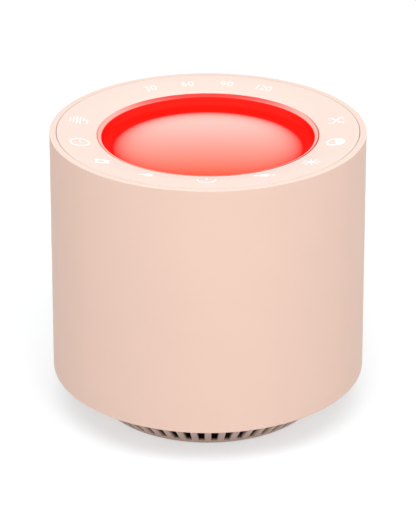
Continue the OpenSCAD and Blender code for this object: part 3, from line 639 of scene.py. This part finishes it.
def glowing(place):
    across, along, up = (place.axis(name) / MM for name in "XYZ")
    radius = (across * across + along * along) ** 0.5
    frost = place.noise(0.35 * MM)
    # The floor pales to the back in a painted reflection, and falls to the wall's red at its edge, most
    # suddenly at the back
    floor_glow_and_reflection = ((along - FADE_START) / FADE_LENGTH).between(GLOW_NEAR, GLOW_FAR_REFLECTION)
    edge = (radius / floor_r) ** (EDGE_FALL + along.step(*FLOOR_BACK) * EDGE_FALL_BACK)
    # Painted shade: the wall is darker at the sides and in a band just above the floor
    wall_glow = along.step(*WALL_BACK).between(GLOW_WALL_SIDE_SHADE, GLOW_WALL)
    shade = stripe(up, floor_z + WALL_SHADE, WALL_SHADE)
    inner = edge.between(floor_glow_and_reflection, shade.between(wall_glow, GLOW_WALL_LOW_SHADE))
    # The lip is pale at the sides and the front, a painted highlight, and red at the back with one
    # painted highlight line
    lip = (up - (rim_z - LIP_R)).step(*LIP_RISE)
    lip_colour = along.step(*LIP_BACK).between(GLOW_LIP_HIGHLIGHT, GLOW_LIP_BACK)
    line = stripe(up, rim_z - HIGHLIGHT_DROP, HIGHLIGHT_HALF)
    line = line * along.step(*HIGHLIGHT_START) * (1 - along.step(*HIGHLIGHT_END)) * HIGHLIGHT_STRENGTH
    lip_colour = line.between(lip_colour, WHITE)
    # Painted shade: a thin dark line in the seam between lip and ring, weaker on the left
    seam_shade = (radius - rim_r).step(*SEAM_EDGE) * (1 - along.step(*SEAM_END))
    seam_shade = seam_shade * (SEAM_WEAK + across.step(*SEAM_SIDE) * (1 - SEAM_WEAK))
    lip_colour = seam_shade.between(lip_colour, GLOW_SEAM_SHADE)
    return {
        "Base Color": rgb(60, 6, 3),
        "Roughness": 0.5 + frost * 0.1,
        "Specular IOR Level": 0.02,
        "Emission Color": lip.between(inner, lip_colour),
        "Emission Strength": 1.0,
    }


dish_glow = material("dish_glow", glowing)
dish = piece("light_dish", turned(dish_outline), dish_glow)
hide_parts("light_diffuser")


# ---------------------------------------------------------------------------
# Light cup and lamp board
# A white moulded reflector hangs under the dish on four ears. The round white
# board screwed into it carries twelve lamps, each with a clear lens on top.
# ---------------------------------------------------------------------------
LAMP_HALF = 2.5
INNER_LAMPS_R = 9
LENS_R = 1.7
LENS_H = 0.35

white_plastic = material("white_plastic", grained(0.15, (228, 227, 222), (236, 235, 231), 0.45, 0.003))
dress(white_plastic, "light_cup")
white_lacquer = material("white_lacquer", solder_mask((232, 232, 228), (222, 223, 220)))
dress(white_lacquer, "led_board")


def clear_resin(place):
    swirl = place.noise(0.8 * MM)
    return {
        "Base Color": swirl.between(rgb(252, 232, 150), rgb(255, 243, 190)),
        "Roughness": 0.08 + swirl * 0.06,
    }


lamps_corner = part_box("light_leds")[1] / MM
lamp_circles = {8: lamps_corner.x - LAMP_HALF, 4: INNER_LAMPS_R}
lenses = bmesh.new()
for count, radius in lamp_circles.items():
    for i in range(count):
        spot = Matrix.Rotation(2 * math.pi * i / count, 4, "Z") @ Vector((radius, 0, lamps_corner.z))
        flat = Matrix.Translation(spot) @ Matrix.Diagonal((1, 1, LENS_H / LENS_R, 1))
        bmesh.ops.create_uvsphere(lenses, u_segments=20, v_segments=8, radius=LENS_R, matrix=flat)
lenses.transform(Matrix.Scale(MM, 4))
piece("lamp_lenses", lenses, material("clear_resin", clear_resin))


# ---------------------------------------------------------------------------
# Main board
# A round green board on the speaker chamber's posts, with the controller, the
# sound memory, the amplifier, its filter coil, capacitors and lead sockets.
# ---------------------------------------------------------------------------
LEG_W = 0.24
LEG_T = 0.12
LEG_LINE = [(-0.1, 0.55), (0.25, 0.55), (0.45, LEG_T / 2), (0.95, LEG_T / 2)]
CAN_BASE = 0.95, 1.05

dress(green_lacquer, "main_board", "power_board")
dress(chip_epoxy, "controller_chip", "sound_memory", "amplifier_chip")
dress(white_plastic, "board_sockets", "lead_plugs")
ferrite = material("ferrite", grained(0.5, (46, 46, 49), (66, 66, 70), 0.65, 0.03))
dress(ferrite, "filter_coil", "speaker_magnet")


def zinc(place):
    spangle = place.noise(0.9 * MM, 4.0)
    return {
        "Base Color": spangle.between(rgb(184, 188, 194), rgb(206, 206, 200)),
        "Roughness": 0.28 + spangle * 0.16,
        "Metallic": 1.0,
        "Normal": bump(spangle, 0.004 * MM),
    }


zinc_plate = material("zinc_plate", zinc)
board_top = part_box("capacitors")[0].z / MM


def capacitor_can(place):
    base = 1 - (place.axis("Z") / MM - board_top).step(*CAN_BASE)
    brushed = place.node("Mapping", inputs={"Vector": place, "Scale": (1, 1, 12)}).noise(0.5 * MM)
    can = brushed.between(rgb(196, 197, 199), rgb(216, 217, 218))
    return {
        "Base Color": base.between(can, rgb(28, 28, 30)),
        "Roughness": 0.25 + brushed * 0.15,
        "Metallic": 1 - base,
        "Normal": bump(brushed, 0.003 * MM),
    }


dress(material("capacitor_can", capacitor_can), "capacitors")


def legs(name, chip, sides, pitch):
    """The gull-wing legs of a chip, in rows along its sides, which are given by angles in degrees."""
    low, high = (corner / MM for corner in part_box(chip))
    half = (high - low) / 2
    mesh = bmesh.new()
    for side in sides:
        reach, width = (half.x, half.y) if side % 180 == 0 else (half.y, half.x)
        count = round(2 * width / pitch) - 1
        row = []
        for i in range(count):
            across = (i - (count - 1) / 2) * pitch - LEG_W / 2
            line = [mesh.verts.new((reach + out, across, up)) for out, up in LEG_LINE]
            edges = [mesh.edges.new(pair) for pair in zip(line, line[1:])]
            wide = bmesh.ops.extrude_edge_only(mesh, edges=edges)["geom"]
            far = [part for part in wide if isinstance(part, bmesh.types.BMVert)]
            bmesh.ops.translate(mesh, verts=far, vec=(0, LEG_W, 0))
            row += line + far
        facing = Matrix.Rotation(math.radians(side), 3, "Z")
        bmesh.ops.rotate(mesh, verts=row, cent=(0, 0, 0), matrix=facing)
    bmesh.ops.recalc_face_normals(mesh, faces=mesh.faces)
    bmesh.ops.solidify(mesh, geom=mesh.faces, thickness=LEG_T)
    bmesh.ops.recalc_face_normals(mesh, faces=mesh.faces)
    middle = (low + high) / 2
    mesh.transform(Matrix.Scale(MM, 4) @ Matrix.Translation((middle.x, middle.y, low.z)))
    piece(name, mesh, zinc_plate, sharp=30)


legs("controller_legs", "controller_chip", sides=(0, 90, 180, 270), pitch=0.8)
legs("memory_legs", "sound_memory", sides=(0, 180), pitch=1.27)


# ---------------------------------------------------------------------------
# Power socket
# A small board on two brackets inside the shell's back holds the socket: a
# drawn steel shell round a black tongue with two rows of gilt contacts.
# ---------------------------------------------------------------------------
CONTACTS = 12
CONTACT_PITCH = 0.5
CONTACT_SIZE = (0.26, 3.0, 0.03)
CONTACT_SET_BACK = 0.3
CONTACT_EDGE = 0.008
TONGUE_T = 0.7


def drawn_steel(place):
    scuffs = place.node("Mapping", inputs={"Vector": place, "Scale": (1, 14, 1)}).noise(0.9 * MM, 3.0)
    return {
        "Base Color": scuffs.between(rgb(190, 191, 193), rgb(208, 209, 210)),
        "Roughness": 0.22 + scuffs * 0.14,
        "Metallic": 1.0,
        "Normal": bump(scuffs, 0.002 * MM),
    }


dress(material("drawn_steel", drawn_steel), "usb_c_shell")
dress(chip_epoxy, "usb_c_tongue")

tongue_low, tongue_high = (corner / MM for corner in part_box("usb_c_tongue"))
contact_y = tongue_high.y - CONTACT_SET_BACK - CONTACT_SIZE[1] / 2
contacts = bmesh.new()
for side in (-1, 1):
    for i in range(CONTACTS):
        across = (i - (CONTACTS - 1) / 2) * CONTACT_PITCH
        spot = Vector((across, contact_y, (tongue_low.z + tongue_high.z + side * TONGUE_T) / 2))
        matrix = Matrix.Translation(spot) @ Matrix.Diagonal((*CONTACT_SIZE, 1))
        bmesh.ops.create_cube(contacts, size=1, matrix=matrix)
bmesh.ops.bevel(
    contacts, geom=contacts.edges, offset=CONTACT_EDGE, segments=1,
    profile=0.5, affect="EDGES", material=-1,
)
contacts.transform(Matrix.Scale(MM, 4))
gilt = grained(0.2, (222, 178, 96), (236, 196, 118), 0.25, 0.001, metallic=1.0)
piece("socket_contacts", contacts, material("gilt", gilt))


# ---------------------------------------------------------------------------
# Leads
# Thin wires in round soft black sleeves, cut to length, from the boards and
# the speaker to their plugs on the main board.
# ---------------------------------------------------------------------------
def sleeve(place):
    weave = place.noise(0.3 * MM)
    return {
        "Base Color": weave.between(rgb(24, 24, 25), rgb(38, 38, 40)),
        "Roughness": 0.5 + weave * 0.15,
        "Normal": bump(weave, 0.01 * MM),
    }


dress(material("lead_sleeve", sleeve), "touch_lead", "led_lead", "power_lead", "speaker_lead")


# ---------------------------------------------------------------------------
# Speaker chamber and bottom cover
# A black can closes the air behind the speaker, and a rubber grommet seals
# its lead. The can is screwed down through a foam ring onto the black cover,
# which closes the shell's lower end.
# ---------------------------------------------------------------------------
CELLS_PER_MM = 2.2


def foam(place):
    cells = place.node("TexVoronoi", inputs={"Vector": place, "Scale": CELLS_PER_MM / MM})
    return {
        "Base Color": cells.between(rgb(30, 30, 31), rgb(58, 58, 60)),
        "Roughness": 0.88 + cells * 0.1,
        "Normal": bump(cells, 0.1 * MM),
    }


def rubber(place):
    grain = place.noise(0.25 * MM)
    return {
        "Base Color": grain.between(rgb(38, 37, 37), rgb(56, 54, 53)),
        "Roughness": 0.62 + grain * 0.2,
        "Normal": bump(grain, 0.02 * MM),
    }


black_plastic = material("black_plastic", grained(0.14, (27, 27, 28), (37, 37, 38), 0.5, 0.006))
dress(black_plastic, "speaker_chamber", "bottom_cover")
dress(material("foam", foam), "chamber_gasket", "speaker_gasket")
rubber_paint = material("rubber", rubber)
dress(rubber_paint, "lead_grommet")


# ---------------------------------------------------------------------------
# Speaker motor
# A pressed steel basket carries the ferrite ring between its top plate and
# the yoke, which are turned and zinc plated. Two brass tags take the lead.
# ---------------------------------------------------------------------------
def turned_steel(place):
    across, along = place.axis("X"), place.axis("Y")
    radius = (across * across + along * along) ** 0.5
    marks = radius.node("CombineXYZ", inputs={"X": radius}).noise(0.25 * MM, 3.0)
    return {
        "Base Color": marks.between(rgb(176, 179, 184), rgb(198, 200, 202)),
        "Roughness": 0.24 + marks * 0.16,
        "Metallic": 1.0,
        "Normal": bump(marks, 0.006 * MM),
    }


basket_enamel = material("basket_enamel", grained(0.6, (20, 20, 21), (30, 30, 31), 0.35, 0.02))
dress(basket_enamel, "speaker_basket")
dress(material("turned_steel", turned_steel), "speaker_top_plate", "speaker_yoke")
tinned_brass = grained(0.4, (204, 176, 112), (220, 196, 140), 0.28, 0.003, metallic=1.0)
dress(material("tinned_brass", tinned_brass), "speaker_terminals")


# ---------------------------------------------------------------------------
# Cone
# Pulp cone and dust cap, glued to a foil tube with its copper winding. They
# move together along the drum's axis.
# ---------------------------------------------------------------------------
WIRE_PITCH = 0.25


def pulp(place):
    lay = {"Vector": place, "Rotation": (0.3, 0.5, 0.9), "Scale": (1, 5, 1)}
    fibres = place.node("Mapping", inputs=lay).noise(0.7 * MM, 5.0)
    return {
        "Base Color": fibres.between(rgb(38, 37, 36), rgb(66, 64, 62)),
        "Roughness": 0.8 + fibres * 0.15,
        "Normal": bump(fibres, 0.06 * MM),
    }


def winding(place):
    phase = place.axis("Z") * (2 * math.pi / (WIRE_PITCH * MM))
    turns = place.math("SINE", phase) * 0.5 + 0.5
    return {
        "Base Color": turns.between(rgb(132, 62, 28), rgb(208, 118, 64)),
        "Roughness": 0.3 + turns * 0.05,
        "Metallic": 1.0,
        "Normal": bump(turns, 0.1 * MM),
    }


dress(material("pulp", pulp), "speaker_cone", "dust_cap")
foil = grained(0.5, (186, 140, 74), (206, 160, 92), 0.3, 0.004, metallic=0.6)
dress(material("foil", foil), "coil_former")
dress(material("winding", winding), "voice_coil")


# ---------------------------------------------------------------------------
# Surround and spider
# The rubber half-roll round the cone and the corrugated cloth round the coil
# bend as the cone moves. Each is made here as a ring of wedges.
# ---------------------------------------------------------------------------
WEDGES = 12
WEDGE_STEPS = 8
SURROUND_T = 0.4
ROLL_T = 0.5
ROLL_LAP = 0.2
CONE_LAP = 1.3
SPIDER_T = 0.35
SPIDER_WAVE = 0.6
SPIDER_WAVES = 3
WAVE_STEPS = 8
SPIDER_NECK = 1
SPIDER_RIM = 1.2
THREAD_PITCH = 0.55


def cloth(place):
    across, along = (place.axis(name) * (2 * math.pi / (THREAD_PITCH * MM)) for name in "XY")
    threads = place.math("SINE", across) * place.math("SINE", along) * 0.5 + 0.5
    return {
        "Base Color": threads.between(rgb(150, 118, 62), rgb(204, 170, 104)),
        "Roughness": 0.75 + threads * 0.1,
        "Normal": bump(threads, 0.08 * MM),
    }


def wedges(name, outline, paint, node, outer_r, inner_r):
    """A ring in wedges, in place of a CAD node, which it hides."""
    half = 180 / WEDGES
    for i in range(WEDGES):
        middle = 2 * half * i
        mesh = turned(outline, WEDGE_STEPS, middle - half, middle + half)
        made = piece(f"{name}_{i + 1}", mesh, paint, body=None)
        way = Matrix.Rotation(math.radians(middle), 3, "Z") @ Vector((MM, 0, 0))
        way * outer_r * math.cos(math.radians(half))
        way * inner_r
        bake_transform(made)
        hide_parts(node)


surround_low, surround_high = (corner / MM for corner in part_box("cone_surround"))
cone_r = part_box("speaker_cone")[1].x / MM
face_z = surround_high.z
lip_z = face_z - SURROUND_T
roll_z = face_z - SURROUND_T / 2
roll_r = roll_z - surround_low.z
roll_mid_r = cone_r - ROLL_LAP + roll_r
roll_in_r = roll_mid_r - roll_r
roll_out_r = roll_mid_r + roll_r
lap_r = cone_r - CONE_LAP
surround_outline = [(surround_high.x, lip_z), (surround_high.x, face_z), (roll_out_r - ROLL_T, face_z)]
surround_outline += arc(roll_mid_r, roll_z, roll_r - ROLL_T, 0, -180)
surround_outline += [(roll_in_r + ROLL_T, face_z), (lap_r, face_z), (lap_r, lip_z), (roll_in_r, lip_z)]
surround_outline += arc(roll_mid_r, roll_z, roll_r, -180, 0)
surround_outline += [(roll_out_r, lip_z)]
wedges("surround", surround_outline, rubber_paint, "cone_surround", roll_out_r, roll_in_r)

spider_low, spider_high = (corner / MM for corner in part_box("centring_spider"))
spider_in_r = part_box("coil_former")[1].x / MM
wave_start = spider_in_r + SPIDER_NECK
wave_end = spider_high.x - SPIDER_RIM
spider_z = (spider_low.z + spider_high.z) / 2
points = WAVE_STEPS * SPIDER_WAVES
spider_line = [(spider_in_r, 0)]
for i in range(points + 1):
    wave = SPIDER_WAVE * math.sin(math.radians(360 / WAVE_STEPS * i))
    spider_line.append((wave_start + (wave_end - wave_start) * i / points, wave))
spider_line.append((spider_high.x, 0))
spider_outline = [(r, spider_z - SPIDER_T / 2 + up) for r, up in spider_line]
spider_outline += [(r, spider_z + SPIDER_T / 2 + up) for r, up in spider_line[::-1]]
cloth_paint = material("cloth", cloth)
wedges("spider", spider_outline, cloth_paint, "centring_spider", wave_end, wave_start)


# ---------------------------------------------------------------------------
# Foot
# A slotted cone in the shell's peach plastic, open to the speaker. Its inside
# is painted near-black as painted shade, so that the slots look dark. A flat
# ring of dark non-slip rubber is glued into the groove under it.
# ---------------------------------------------------------------------------
FOOT_BOTTOM_R = 35.3
FOOT_FLOOR = 2
SLOT_PAINTED_SHADE = rgb(56, 50, 48)
SLOT_SHADE_EDGE = 0.4, 1.6
SLOT_SHADE_FLOOR_EDGE = 0.3

foot_low, foot_high = (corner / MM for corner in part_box("foot_grille"))


def foot_plastic(place):
    across, along, up = (place.axis(name) / MM for name in "XYZ")
    radius = (across * across + along * along) ** 0.5
    slope = (foot_high.x - FOOT_BOTTOM_R) / (foot_high.z - foot_low.z)
    depth = (up - foot_low.z) * slope + FOOT_BOTTOM_R - radius
    floor_top = foot_low.z + FOOT_FLOOR
    # Painted shade: inside the outer skin and above the floor, the cone turns near-black
    inside = depth.step(*SLOT_SHADE_EDGE) * up.step(floor_top - SLOT_SHADE_FLOOR_EDGE, floor_top)
    plastic = shell_plastic(place)
    plastic["Base Color"] = inside.between(plastic["Base Color"], SLOT_PAINTED_SHADE)
    return plastic


dress(material("foot_plastic", foot_plastic), "foot_grille")
dress(rubber_paint, "rubber_foot")


# ---------------------------------------------------------------------------
# Screws
# Zinc-plated pan-head screws with a cross recess, all driven from below or
# from inside, so that none shows while the machine stands.
# ---------------------------------------------------------------------------
SCREWED = "cup led_board main_board power_board chamber speaker cover foot".split()

dress(zinc_plate, *(f"{name}_screws" for name in SCREWED))
